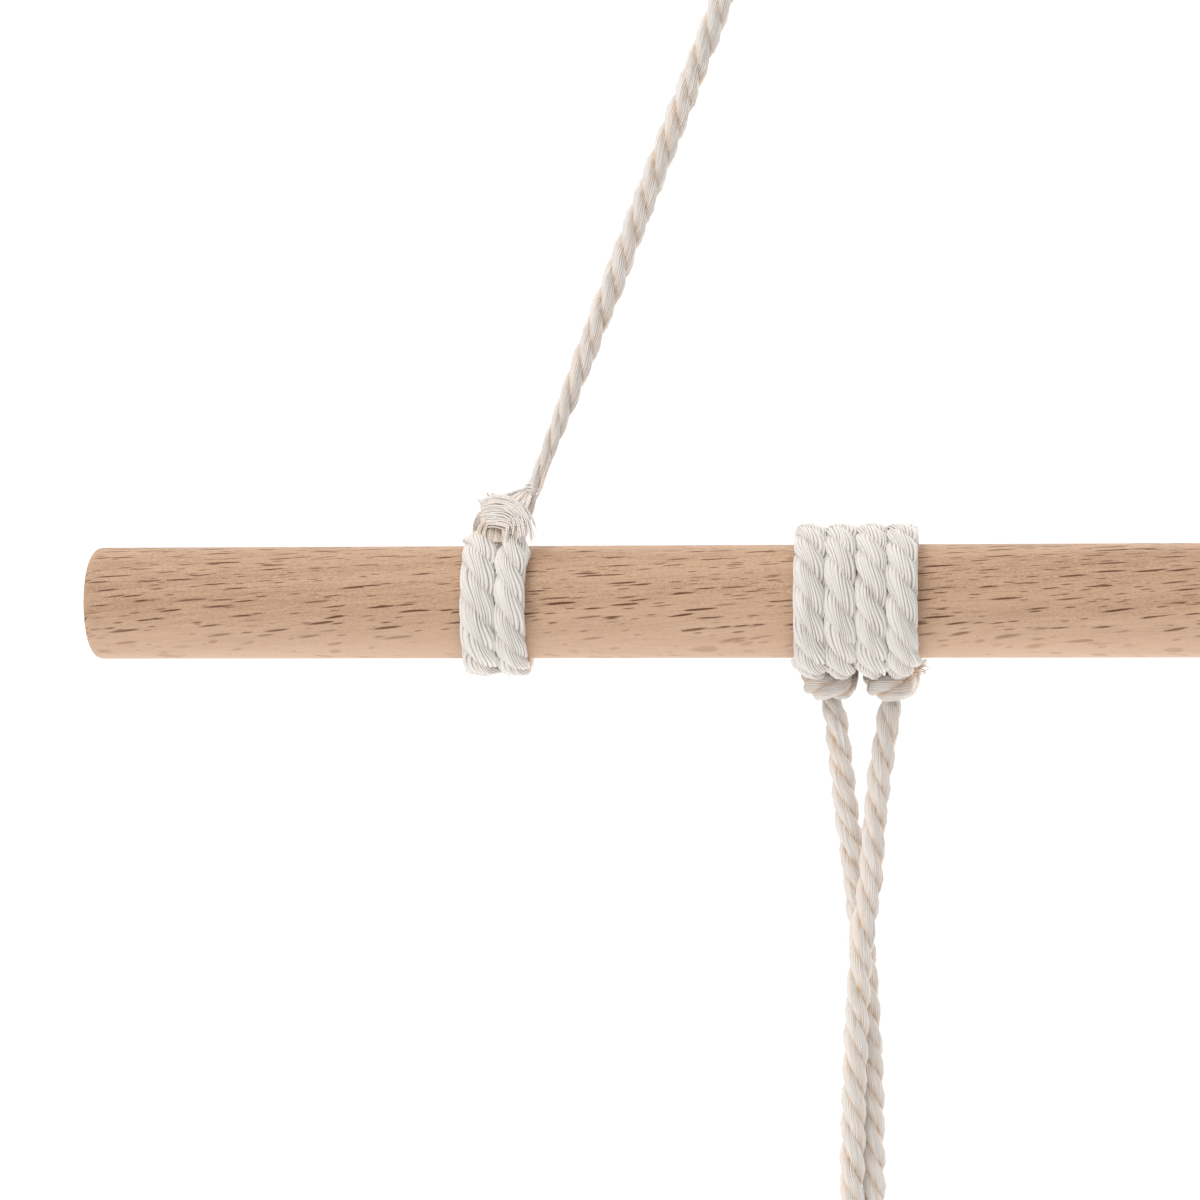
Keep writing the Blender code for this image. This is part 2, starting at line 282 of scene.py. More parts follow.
def nail_bend(foot):
    """The hanging cord's straight run up from its foot, and half of its bend over the nail."""
    centre = Vector((0.0, 0.0, CORD_RADIUS - NAIL_BEND))
    reach = centre - foot
    lean = math.atan2(reach.x, reach.z) - math.asin(NAIL_BEND / reach.length)
    touch = centre + NAIL_BEND * Vector((-math.cos(lean), 0.0, math.sin(lean)))
    run = touch - foot
    straight = [Station(foot + run * share, FRONT, radius, radius) for share, radius in NECK]
    straight += [Station(foot + run * share, FRONT) for share in (0.25, 0.5, 0.75, 0.95, 0.985)]
    bend = []
    for share in (0.0, 0.33, 0.67, 1.0):
        angle = lean + (math.pi / 2 - lean) * share
        offset = Vector((-math.cos(angle), 0.0, math.sin(angle)))
        bend.append(Station(centre + NAIL_BEND * offset, FRONT))
    return straight + bend


def mirrored(station):
    """The same place on the other side of the dowel's middle."""
    flip = Vector((-1.0, 1.0, 1.0))
    return Station(station.point * flip, station.outward * flip, *station.sizes())


def hanging_route():
    """The hanging cord, from the tail of its left tie over the nail to the tail of its right tie."""
    tie = tie_route()
    left = tie + nail_bend(tie[-1].point)
    return left + [mirrored(station) for station in left[-2::-1]]


routes = {"hanging_cord": hanging_route(), **mounted_routes}
print("the hanging cord has", len(routes["hanging_cord"]), "stations")

# %% [markdown]
# ## From a route to a measured line
#
# A cord has a fixed length and its plies turn evenly along it, so each route is made into a fine
# line whose distance is known at every point. A smooth curve runs through the stations; its
# slopes are weighted by the length of the runs on both sides, so a long straight run has two
# stations close before its bend to stay straight.

# %% Measure a route
FINE_STEP = 0.3 * MM
YARN_LAY_FREE = 32.0 * MM           # length in which a yarn goes once round its ply
YARN_LAY_PRESSED = 100.0 * MM
GRIP_FADES = 3.0 * MM               # the height in which the tie's grip gives way to the neck's
NECK_GRIP = 0.2


def heading(route, i):
    """The direction of the route at a station, from the runs before and after it."""
    before = route[i].point - route[max(i - 1, 0)].point
    after = route[min(i + 1, len(route) - 1)].point - route[i].point
    if not before.length:
        return after.normalized()
    if not after.length:
        return before.normalized()
    share = after.length / (before.length + after.length)
    return before.normalized() * share + after.normalized() * (1 - share)


def smooth_route(route):
    """The route's stations with short steps between them, on a curve through all of them."""
    fine = []
    for i in range(len(route) - 1):
        here, there = route[i], route[i + 1]
        run = (there.point - here.point).length
        leave, arrive = heading(route, i) * run, heading(route, i + 1) * run
        pieces = math.ceil(run / FINE_STEP)
        for k in range(pieces):
            t = k / pieces
            point = here.point.lerp(there.point, t * t * (3 - 2 * t))
            point += leave * (t * (1 - t) ** 2) - arrive * (t * t * (1 - t))
            sizes = [a + (b - a) * t for a, b in zip(here.sizes(), there.sizes())]
            fine.append(Station(point, here.outward.lerp(there.outward, t), *sizes))
    fine.append(route[-1])
    return fine


class Line:
    """A cord's centre line by distance, with its across and outward sides and its sizes."""

    NUMBERS = ("half_width", "half_depth", "room", "spread", "grip", "yarn_turn")
    VECTORS = ("centre", "across", "outward")

    def __init__(self, route):
        fine = smooth_route(route)
        self.centre = np.array([s.point for s in fine])
        outward = np.array([s.outward for s in fine])
        steps = np.linalg.norm(np.diff(self.centre, axis=0), axis=1)
        self.along = np.concatenate(([0.0], np.cumsum(steps)))
        self.length = self.along[-1]
        ahead = np.gradient(self.centre, axis=0)
        ahead /= np.linalg.norm(ahead, axis=1)[:, None]
        across = np.cross(outward, ahead)
        self.across = across / np.linalg.norm(across, axis=1)[:, None]
        self.outward = np.cross(ahead, self.across)
        self.half_width, self.half_depth, self.room = np.array([s.sizes() for s in fine]).T
        grip = np.clip((CORD_RADIUS - self.half_depth) / (CORD_RADIUS - KNOT_RADIUS), 0.0, 1.0)
        above_tie = self.centre[:, 2] - DOWEL_Z - FREE_ABOVE
        self.grip = grip * np.clip(1.0 - above_tie / GRIP_FADES, NECK_GRIP, 1.0)
        free, pressed = math.tau / YARN_LAY_FREE, math.tau / YARN_LAY_PRESSED
        twist = free + (pressed - free) * self.grip
        self.yarn_turn = np.concatenate(([0.0], np.cumsum(twist[1:] * steps)))
        closeness = (OPEN_ROOM - self.room) / (OPEN_ROOM - CROWDED_ROOM)
        self.spread = SPREAD * np.clip(closeness, 0.0, 1.0)

    def at(self, distance, name):
        """One of the line's values at one or more distances."""
        values = getattr(self, name)
        if values.ndim == 1:
            return np.interp(distance, self.along, values)
        return np.stack([np.interp(distance, self.along, values[:, k]) for k in range(3)], axis=-1)


lines = {name: Line(route) for name, route in routes.items()}
for name, line in lines.items():
    print(name, "is", round(line.length, 3), "m long")

# %% [markdown]
# ## A small help for node trees
#
# Geometry and materials below are both node trees. Written one node at a time they are long and
# hard to read, so `Flow` stands for a value that flows through a tree: adding or multiplying two
# of them adds the Math node that does it. The trees that result are ordinary ones.

# %% Write node trees as formulas
class Flow:
    """A socket of a node tree. Arithmetic with it adds the Math or Vector Math node for it."""

    def __init__(self, tree, socket):
        self.tree = tree
        self.socket = socket

    def number(self, operation, *values):
        return add(self.tree, "ShaderNodeMath", dict(enumerate((self, *values))),
                   operation=operation)

    def vector(self, operation, *values):
        output = "Value" if operation in ("LENGTH", "DOT_PRODUCT") else "Vector"
        return add(self.tree, "ShaderNodeVectorMath", dict(enumerate((self, *values))), output,
                   operation=operation)

    def is_vector(self):
        return self.socket.type in ("VECTOR", "RGBA")

    def __add__(self, other):
        return (self.vector if self.is_vector() else self.number)("ADD", other)

    def __sub__(self, other):
        return (self.vector if self.is_vector() else self.number)("SUBTRACT", other)

    def __mul__(self, other):
        """A vector is scaled by a number and multiplied part by part by another vector."""
        if not self.is_vector():
            return self.number("MULTIPLY", other)
        if isinstance(other, tuple) or (isinstance(other, Flow) and other.is_vector()):
            return self.vector("MULTIPLY", other)
        return add(self.tree, "ShaderNodeVectorMath", {0: self, "Scale": other}, operation="SCALE")

    def __truediv__(self, other):
        return self.number("DIVIDE", other)

    def __neg__(self):
        return self.number("MULTIPLY", -1.0)

    def cos(self):
        return self.number("COSINE")

    def sin(self):
        return self.number("SINE")

    def clamp(self):
        return add(self.tree, "ShaderNodeMath", {0: self, 1: 0.0}, operation="ADD", use_clamp=True)

    def smooth(self, low, high):
        """0 below low and 1 above high, with a soft step between."""
        return add(self.tree, "ShaderNodeMapRange", dict(enumerate((self, low, high, 0.0, 1.0))),
                   interpolation_type="SMOOTHSTEP")

    def parts(self):
        """The three numbers of a vector."""
        node = add(self.tree, "ShaderNodeSeparateXYZ", {0: self}).socket.node
        return [Flow(self.tree, part) for part in node.outputs]

    def other(self, output):
        """Another output of the node that this value comes from."""
        return Flow(self.tree, self.socket.node.outputs[output])


def wire(tree, slot, value):
    """Links a Flow or a socket to the slot, or sets the slot to a plain value."""
    if isinstance(value, Flow):
        value = value.socket
    if isinstance(value, bpy.types.NodeSocket):
        tree.links.new(value, slot)
    else:
        slot.default_value = value


def wire_all(tree, node, inputs):
    """Links or sets several inputs of a node."""
    for name, value in inputs.items():
        wire(tree, node.inputs[name], value)


def add(tree, kind, inputs=None, output=0, **settings):
    """Adds a node, sets and wires it, and gives one of its outputs as a Flow."""
    node = tree.nodes.new(kind)
    for name, value in settings.items():
        setattr(node, name, value)
    wire_all(tree, node, inputs or {})
    return Flow(tree, node.outputs[output])


def combine(tree, x, y, z):
    """Three numbers as one vector."""
    return add(tree, "ShaderNodeCombineXYZ", {"X": x, "Y": y, "Z": z})


def noise(tree, where, detail=2.0, scale=1.0, output=0):
    """A cloudy value about a half, or three of them with output 1."""
    return add(tree, "ShaderNodeTexNoise", {"Vector": where, "Detail": detail, "Scale": scale}, output)


print("a Flow can", [name for name in vars(Flow) if not name.startswith("_")])

# %% [markdown]
# Each tree that makes geometry has named inputs for its sizes. It runs on a guide, a mesh that
# carries what the tree needs to know, and its result is kept as a plain mesh. A modifier could
# stay on the object instead, but a plain mesh is the same wherever it is opened.

# %% Run geometry trees on guides
SOCKET_KINDS = {float: "NodeSocketFloat", int: "NodeSocketInt", str: "NodeSocketMaterial"}


class GeometryTree:
    """A Geometry Nodes tree with named inputs, which gives a plain mesh for each guide mesh."""

    def __init__(self, name, defaults):
        self.tree = bpy.data.node_groups.new(name, "GeometryNodeTree")
        face = self.tree.interface
        face.new_socket("Geometry", in_out="INPUT", socket_type="NodeSocketGeometry")
        for label, value in defaults.items():
            socket = face.new_socket(label, in_out="INPUT", socket_type=SOCKET_KINDS[type(value)])
            if not isinstance(value, str):
                socket.default_value = value
        face.new_socket("Geometry", in_out="OUTPUT", socket_type="NodeSocketGeometry")
        self.source = self.tree.nodes.new("NodeGroupInput")
        self.sink = self.tree.nodes.new("NodeGroupOutput")

    def given(self, label):
        """One of the tree's inputs."""
        return Flow(self.tree, self.source.outputs[label])

    def end(self, geometry):
        """Realizes what is instanced, gives it its material and hands it out."""
        whole = add(self.tree, "GeometryNodeRealizeInstances", {"Geometry": geometry})
        done = add(self.tree, "GeometryNodeSetMaterial",
                   {"Geometry": whole, "Material": self.given("Material")})
        wire(self.tree, self.sink.inputs[0], done)

    def make(self, name, guide, material, **values):
        """Runs the tree on a guide mesh and returns the result as a plain object."""
        holder = bpy.data.objects.new(name + "_guide", guide)
        bpy.context.scene.collection.objects.link(holder)
        modifier = holder.modifiers.new("tree", "NODES")
        modifier.node_group = self.tree
        values["Material"] = material
        for item in self.tree.interface.items_tree:
            if item.in_out == "INPUT" and item.name in values:
                modifier[item.identifier] = values[item.name]
        bpy.context.view_layer.update()
        evaluated = holder.evaluated_get(bpy.context.evaluated_depsgraph_get())
        mesh = bpy.data.meshes.new_from_object(evaluated)
        bpy.data.objects.remove(holder)
        mesh.name = name
        mesh.shade_smooth()
        made = bpy.data.objects.new(name, mesh)
        bpy.context.scene.collection.objects.link(made)
        mesh.calc_loop_triangles()
        print(name, "has", len(mesh.loop_triangles), "triangles")
        return made


print("sockets for", [kind.__name__ for kind in SOCKET_KINDS])

# %% [markdown]
# ## Cotton
#
# Cotton cord is matt. Each yarn scatters light softly, and light that falls into the grooves
# between yarns and plies bounces from cream to cream and comes out warmer and darker. That shade
# is painted into the colour: the mesh carries how deep each point lies in a groove, and the cotton
# is painted darker and warmer there, so that the painted shade follows the cord's own form. Fine
# stretched noise, laid in the strand's own space, gives the fibres of each yarn.

# %% Make the cotton
CREAM = (0.86, 0.815, 0.77)
# Painted shade in the grooves: warm orange where the cord hangs free, as if light shone through it,
# and darker where it is pressed in a knot.
GROOVE_SHADE_FREE = (0.68, 0.475, 0.31)
GROOVE_SHADE_PRESSED = (0.40, 0.32, 0.255)
FIBRE_BUMP = 0.02 * MM


def principled(name):
    """A new material: its tree and its shader."""
    material = bpy.data.materials.new(name)
    material.use_nodes = True
    return material, material.node_tree, material.node_tree.nodes["Principled BSDF"]


def attribute(tree, name, output="Fac"):
    """A value that the mesh carries."""
    return add(tree, "ShaderNodeAttribute", output=output, attribute_name=name)


def blend(tree, share, first, second):
    """A colour between two."""
    share_slot, first_slot, second_slot, colour_output = 0, 6, 7, 2  # of a Mix node for colours
    first, second = (value if isinstance(value, Flow) else (*value, 1.0) for value in (first, second))
    return add(tree, "ShaderNodeMix", {share_slot: share, first_slot: first, second_slot: second},
               colour_output, data_type="RGBA")


def by_grip(grip, free, pressed):
    """A value with one amount for the free cord and another for a cord deep in a knot."""
    return grip * (pressed - free) + free


def make_cotton():
    material, tree, shader = principled("cotton")
    ply, yarn, tone, grip = (attribute(tree, name) for name in
                             ("ply_groove", "yarn_groove", "yarn_tone", "grip"))
    strand = attribute(tree, "strand_space", "Vector")
    fibres = noise(tree, strand * (1.0, 1.0, 0.16), scale=9.0)
    patches = noise(tree, strand * (1.5, 1.5, 0.12))
    # Painted shade: dark gaps between the yarns, in patches, and shade deep between the plies, with
    # each yarn's own random tone mixed in.
    gap_shade = yarn.smooth(0.35, 1.0) * (patches - 0.5).smooth(-0.22, 0.12)
    depth = (ply * by_grip(grip, 0.72, 0.52) + gap_shade * by_grip(grip, 0.6, 0.9)
             + (tone - 0.5) * by_grip(grip, 0.6, 0.3)).clamp()
    colour = blend(tree, depth, CREAM, blend(tree, grip, GROOVE_SHADE_FREE, GROOVE_SHADE_PRESSED))
    light = (tone - 0.5) * by_grip(grip, 0.17, 0.09) + (fibres - 0.5) * 0.16 + 1.0
    bump = add(tree, "ShaderNodeBump", {"Strength": 0.6, "Distance": FIBRE_BUMP, "Height": fibres})
    wire_all(tree, shader, {
        "Base Color": colour * light, "Normal": bump, "Roughness": 0.92,
        "Specular IOR Level": 0.15, "Sheen Weight": 0.10, "Sheen Roughness": 0.6})
    return material


cotton = make_cotton()
print("cotton made with", len(cotton.node_tree.nodes), "nodes")

# %% [markdown]
# ## A laid ply
#
# Three plies laid round each other make the cord, and each ply has 23 yarns round it. A ply could
# be a curve with a bevel, but a bevelled curve has one round section everywhere. Here the section
# changes: it is pressed flat on the dowel, squeezed in a knot and free below it. So a Geometry
# Nodes tree takes a plain cylinder, one ring for each point of the guide line, and moves every
# point to its place: round the cord's axis with its ply, round the ply with its yarn, and out by
# the yarn's own roundness.

# %% Values that a mesh carries
def named(tree, name, data_type="FLOAT"):
    """A value that the geometry carries, where it is."""
    return add(tree, "GeometryNodeInputNamedAttribute", {"Name": name}, data_type=data_type)


def read(tree, guide, name, index, data_type="FLOAT"):
    """A value that the guide mesh carries, at one of its points."""
    stored = named(tree, name, data_type)
    return add(tree, "GeometryNodeSampleIndex",
               {"Geometry": guide, "Value": stored, "Index": index}, data_type=data_type)


def store(tree, geometry, name, value, data_type="FLOAT"):
    """Keeps a value on the mesh's points for the material."""
    return add(tree, "GeometryNodeStoreNamedAttribute",
               {"Geometry": geometry, "Name": name, "Value": value},
               data_type=data_type, domain="POINT")


def chance(tree, seed, **inputs):
    """A random number from 0 to 1 for each place."""
    return add(tree, "FunctionNodeRandomValue", {"Seed": seed, **inputs}, 1, data_type="FLOAT")


print("a guide carries", Line.VECTORS + Line.NUMBERS)

# %% The ply tree
POINTS_IN_YARN = 3
ROOM_EDGE = 8.0                     # how suddenly the room ends: a higher power is harder
PLY_REACH = 0.42, 0.34              # from the cord's axis, free and pressed, in cord radii
PLY_RADIUS = 0.58, 0.66
WAVES = {"slide": 75.0, "wander": 160.0, "sway": 110.0, "rise": 130.0}  # to a metre


def held_within(value, room):
    """The value, held softly within the room on both sides."""
    share = (value / room).number("ABSOLUTE").number("POWER", ROOM_EDGE)
    return value / (share + 1.0).number("POWER", 1.0 / ROOM_EDGE)


def pressed_on_dowel(tree, place):
    """Moves a point that would sink into the dowel out to the dowel's surface."""
    x, y, z = place.parts()
    height = z - DOWEL_Z
    reach = (y * y + height * height).number("SQRT")
    push = reach.number("MAXIMUM", DOWEL_RADIUS + 0.01 * MM) / reach
    return combine(tree, x, y * push, height * push + DOWEL_Z)


def build_ply_tree():
    made = GeometryTree("laid_ply", {
        "Ply": 0, "Yarns": 23, "Seed": 1, "Lay": LAY, "Swell": 0.22 * MM, "Relief": 0.12,
        "Unevenness": 0.09, "Loose yarns": 0.14, "Irregular lay": 0.55, "Material": ""})
    tree = made.tree
    guide = made.given("Geometry")
    count = add(tree, "GeometryNodeAttributeDomainSize", {"Geometry": guide})
    round_count = made.given("Yarns") * float(POINTS_IN_YARN)
    tube = add(tree, "GeometryNodeMeshCylinder",
               {"Vertices": round_count, "Side Segments": count - 1.0}, fill_type="NGON")

    index = add(tree, "GeometryNodeInputIndex")
    ring = (index / round_count).number("FLOOR")
    place_round = index - ring * round_count
    station = count - 1.0 - ring
    centre, across, outward = (read(tree, guide, name, station, "FLOAT_VECTOR")
                               for name in Line.VECTORS)
    half_width, half_depth, room, spread, grip, yarn_turn = (
        read(tree, guide, name, station) for name in Line.NUMBERS)
    along = read(tree, guide, "along", station)

    # The grip is 0 where the cord hangs free and 1 where it is deep in a knot.
    swell = grip * made.given("Swell")
    ply_reach = by_grip(grip, *PLY_REACH)
    ply_radius = by_grip(grip, *PLY_RADIUS)

    # Each ply of each cord reads its own part of the noise.
    own_angle = place_round / round_count * math.tau
    round_cos, round_sin = own_angle.cos(), own_angle.sin()
    seed = made.given("Seed") * 7.3 + made.given("Ply") * 3.1
    wave = {name: along * waves for name, waves in WAVES.items()}
    slide = noise(tree, combine(tree, seed, wave["slide"], seed * 0.7), 1.0) - 0.5
    turn = (made.given("Ply") * (math.tau / PLIES) - along / made.given("Lay") * math.tau
            + slide * made.given("Irregular lay") * 2.0)
    wander_at = combine(tree, round_cos * 1.3 + seed, round_sin * 1.3, wave["wander"])
    wander = noise(tree, wander_at, 1.0) - 0.5
    sway_at = combine(tree, seed, round_sin * 0.8, wave["sway"] + round_cos * 0.8)
    sway = noise(tree, sway_at, 0.0) - 0.5
    yarn_angle = own_angle + yarn_turn + sway * 0.9

    in_yarn = place_round.number("MODULO", float(POINTS_IN_YARN))
    yarn_number = (place_round / float(POINTS_IN_YARN)).number("FLOOR")
    groove = (in_yarn * -2.0 + 1.0).clamp()
    rise_at = combine(tree, yarn_number * 5.7 + seed, yarn_number * 1.9, wave["rise"])
    rise = noise(tree, rise_at, 1.0) - 0.5
    radius = (ply_radius * (wander * made.given("Unevenness") * 2.0 + 1.0)
              + rise * made.given("Loose yarns") * 2.0 - groove * made.given("Relief"))
    sideways = ply_reach * turn.cos() + radius * yarn_angle.cos()
    outwards = ply_reach * turn.sin() + radius * yarn_angle.sin()
    across_by = held_within(sideways * (half_width + sideways * sideways * spread), room)
    place = centre + across * across_by + outward * (outwards * (half_depth + swell))
    kept = add(tree, "GeometryNodeSetPosition",
               {"Geometry": tube, "Position": pressed_on_dowel(tree, place)})

    # What the cotton reads: how deep each point lies in the grooves between plies and yarns, where it
    # paints shade, and each yarn's own tone.
    reach = (sideways * sideways + outwards * outwards).number("SQRT")
    tone = chance(tree, made.given("Seed"), ID=yarn_number + made.given("Ply") * 50.0)
    looks = {"ply_groove": -(reach.smooth(0.60, by_grip(grip, 0.84, 0.90))) + 1.0,
             "yarn_groove": groove, "yarn_tone": tone, "grip": grip}
    for name, value in looks.items():
        kept = store(tree, kept, name, value)
    strand = combine(tree, round_cos * 3.0 + seed, round_sin * 3.0, along / MM)
    kept = store(tree, kept, "strand_space", strand, "FLOAT_VECTOR")
    made.end(kept)
    return made


ply_tree = build_ply_tree()
print("ply tree made with", len(ply_tree.tree.nodes), "nodes")

# %% [markdown]
# ## Lay the cords
#
# Each cord gets one guide: a mesh of loose points, 0.9 to 1.5 mm apart, that carries the measured
# line's values. The tree runs on it three times, once for each ply. A ply of its own is also how a
# rope is really made, and keeps every piece light. The tails of the hanging cord are unlaid into
# loose yarns, and the hanging ends are a little frayed, so the plies stop short there.

# %% Make the plies
KNOT_STEP = 0.9 * MM
RUN_STEP = 1.5 * MM
HANGS_FREE = 0.05                   # a grip below this is none
TAIL_UNLAID = 21.0 * MM
END_FRAYED = 6.0 * MM


def carry(mesh, name, values):
    """Stores a number or a vector at each of the mesh's points."""
    values = np.asarray(values, dtype=np.float32)
    kind, field = ("FLOAT_VECTOR", "vector") if values.ndim == 2 else ("FLOAT", "value")
    mesh.attributes.new(name, kind, "POINT").data.foreach_set(field, values.ravel())


def guide_mesh(name, line, start, end):
    """The line's values on loose points, from one distance to another."""
    step = np.where(line.grip > HANGS_FREE, KNOT_STEP, RUN_STEP)
    rings = np.concatenate(([0.0], np.cumsum(np.diff(line.along) / step[1:])))
    first, last = np.interp((start, end), line.along, rings)
    along = np.interp(np.linspace(first, last, round(last - first) + 1), rings, line.along)
    mesh = bpy.data.meshes.new(name)
    mesh.from_pydata(line.at(along, "centre").tolist(), [], [])
    for value_name in Line.VECTORS + Line.NUMBERS:
        carry(mesh, value_name, line.at(along, value_name))
    carry(mesh, "along", along)
    return mesh


def dress(piece, slot_name, *nodes):
    """Fixes a finished piece to the frame."""
    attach(piece, BODY)
    if nodes:
        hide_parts(*nodes)


plies = {}
for number, (cord_name, line) in enumerate(lines.items(), start=1):
    short = TAIL_UNLAID if cord_name == "hanging_cord" else END_FRAYED
    guide = guide_mesh(cord_name, line, short, line.length - short)
    plies[cord_name] = []
    for ply in range(PLIES):
        piece = ply_tree.make(f"{cord_name}_ply_{ply + 1}", guide, cotton, Ply=ply, Seed=number)
        dress(piece, "cotton", cord_name)
        plies[cord_name].append(piece)

# %% [markdown]
# ## Loose yarns
#
# A cord comes apart where it is cut. The yarns of each tail are spread into a flat band over the
# wraps of its tie, the neck above it is bound with one yarn, and every free end is frayed. Each
# yarn is its own thin curve with its own small waves. Particle hair could do it too, but these
# yarns are laid one by one, so each gets a few points and one tree makes them all round.

# %% The loose yarn tree
def build_yarn_tree():
    made = GeometryTree("loose_yarn", {"Step": 0.6 * MM, "Wobble": 0.16 * MM, "Sides": 4,
                                       "Seed": 1, "Material": ""})
    tree = made.tree
    tone = named(tree, "yarn_tone")
    rough = add(tree, "GeometryNodeMeshToCurve", {"Mesh": made.given("Geometry")})
    curve = add(tree, "GeometryNodeCurveSplineType", {"Curve": rough}, spline_type="CATMULL_ROM")
    curve = add(tree, "GeometryNodeResampleCurve",
                {"Curve": curve, "Length": made.given("Step")}, mode="LENGTH")
    where = add(tree, "GeometryNodeInputPosition") * 420.0
    noise_at = where + combine(tree, tone * 31.0, tone * 17.0, made.given("Seed"))
    wave = (noise(tree, noise_at, 1.0, output=1) - (0.5, 0.5, 0.5)) * (made.given("Wobble") * 2.0)
    curve = add(tree, "GeometryNodeSetPosition", {"Geometry": curve, "Offset": wave})
    along = add(tree, "GeometryNodeSplineParameter", output=1) / MM
    strand = combine(tree, tone * 40.0, tone * 23.0, along)
    curve = store(tree, curve, "strand_space", strand, "FLOAT_VECTOR")
    ring = add(tree, "GeometryNodeCurvePrimitiveCircle",
               {"Resolution": made.given("Sides"), "Radius": 1.0})
    made.end(add(tree, "GeometryNodeCurveToMesh", {
        "Curve": curve, "Profile Curve": ring, "Scale": named(tree, "thickness"),
        "Fill Caps": True}))
    return made


yarn_tree = build_yarn_tree()
print("loose yarn tree made with", len(yarn_tree.tree.nodes), "nodes")


# %% Collect loose yarns
class Bundle:
    """Loose yarns as lines of points. A flipped bundle is the mirror image across the middle."""

    NUMBERS = ("thickness", "yarn_tone", "ply_groove", "grip")

    def __init__(self, seed, flip=False):
        self.chance = random.Random(seed)
        self.side = -1.0 if flip else 1.0
        self.points, self.edges = [], []
        self.numbers = {name: [] for name in self.NUMBERS}

    def near(self, size):
        """A random number between -size and size."""
        return self.between(-size, size)

    def between(self, low, high):
        return self.chance.uniform(low, high)

    def off(self, size):
        """A random step of up to size mm each way."""
        return Vector([self.near(size) * MM for _ in range(3)])

    # A yarn's groove is how much painted shade the cotton gives it.
    def lay(self, points, thickness, groove=0.1, end=0.55):
        """Adds one yarn through the points. Its radius is in mm, and thinner at its last point."""
        tone = self.chance.random()
        first = len(self.points)
        for k, point in enumerate(points):
            self.points.append((point[0] * self.side, point[1], point[2]))
            if k:
                self.edges.append((first + k - 1, first + k))
            thin = end if k == len(points) - 1 else 1.0
            for name, value in zip(self.NUMBERS, (thickness * MM * thin, tone, groove, 0.0)):
                self.numbers[name].append(value)

    def make(self, name, **values):
        guide = bpy.data.meshes.new(name)
        guide.from_pydata(self.points, self.edges, [])
        for number, stored in self.numbers.items():
            carry(guide, number, stored)
        dress(yarn_tree.make(name, guide, cotton, **values), "cotton")


print("each point of a loose yarn carries", Bundle.NUMBERS)


# %% Find places beside a line and over a disc
def in_section(line, distance, sideways, outwards):
    """A point beside a line's centre, in metres across and outwards."""
    return (line.at(distance, "centre") + line.at(distance, "across") * sideways
            + line.at(distance, "outward") * outwards)


def disc_places(count, bundle):
    """Places spread evenly over a disc, as the seeds of a sunflower are, each a little off."""
    golden_angle = 2.39996
    for k in range(count):
        reach = math.sqrt((k + 0.5) / count)
        angle = golden_angle * k + bundle.near(0.3)
        yield reach * math.cos(angle), reach * math.sin(angle)


print("the hanging cord's middle is at", in_section(
    lines["hanging_cord"], lines["hanging_cord"].length / 2, 0.0, 0.0).round(4))

# %% [markdown]
# ### The yarns of a tie
#
# The tail is pressed into a flat band, which comes up from behind, crosses both wraps and frays in
# front. The wraps' own yarns run in its shade. Above it the foot of the hanging cord flares below
# the yarn that binds it. The places are listed, and chance moves each yarn a little off them,
# because no two yarns of a real tie lie alike.

# %% Lay the band of a tie
# How many loose yarns or fibres lie at each place.
YARNS = {"band": 64, "shade": 80, "rising": 34, "behind": 22, "beside neck": 6, "flare": 110,
         "stub": 9, "end": 40, "tuft": 26}


def by_tie(*places):
    """Points at (right, behind, above) in mm from the seam of the left tie and the dowel's axis."""
    return [Vector((-TIE_X + right * MM, behind * MM, DOWEL_Z + above * MM))
            for right, behind, above in places]


# The middle of the tail's flat band from where its plies end, behind, over the top and down in
# front, in mm from the seam and the dowel's axis: its places, and its half width there.
BAND_WAY = (
    # right, behind, above, then the half width: right, behind, above
    (-2.1, 8.9, 8.7, 1.2, 0.0, 0.0),
    (-2.6, 6.3, 10.4, 1.2, 0.0, 0.3),
    (-2.9, 3.0, 11.3, 0.6, 0.0, 0.9),
    (-2.8, 0.3, 11.5, 0.2, 0.0, 1.3),
    (-2.5, -2.2, 11.6, 0.0, 0.0, 1.5),
    (-1.6, -3.9, 12.0, -0.1, 0.1, 1.6),
    (-0.3, -4.9, 12.2, 0.0, 0.4, 1.7),
    (1.1, -5.3, 12.0, 0.3, 0.5, 1.6),
    (2.2, -5.6, 11.4, 0.8, 0.3, 1.2),
    (2.9, -5.9, 10.6, 1.2, 0.1, 0.6),
    (3.2, -6.3, 9.5, 1.4, 0.0, 0.2),
    (3.4, -6.7, 8.2, 1.6, 0.0, 0.0),
)


def lay_band(bundle, line):
    """The unlaid tail, pressed flat over the wraps and frayed at its cut end."""
    last = len(BAND_WAY) - 1
    middles = by_tie(*(place[:3] for place in BAND_WAY))
    for sideways, outwards in disc_places(YARNS["band"], bundle):
        plies_end = in_section(line, TAIL_UNLAID + 1.6 * MM, sideways * 0.9 * MM,
                               outwards * 0.7 * MM)
        drift, lift = bundle.near(0.8), bundle.between(-0.2, 0.9)
        sag, stop = bundle.near(0.35), bundle.between(9.3, 11.7)
        points = [Vector(plies_end)]
        for k, middle in enumerate(middles[:math.floor(stop) + 1]):
            fan = max(0.0, (k - 7.5) / 4.0) ** 2
            width = (sideways + drift * k / last) * MM
            outward = Vector((0.0, middle.y, middle.z - DOWEL_Z)).normalized()
            arch = math.sin(math.pi * k / last) * sag
            points.append(middle + Vector(BAND_WAY[k][3:]) * width
                          + outward * (outwards * 0.65 + fan * lift + arch) * MM)
        # The yarns on the band's underside get painted shade.
        bundle.lay(points, bundle.between(0.14, 0.19), groove=0.35 * max(0.0, -outwards))


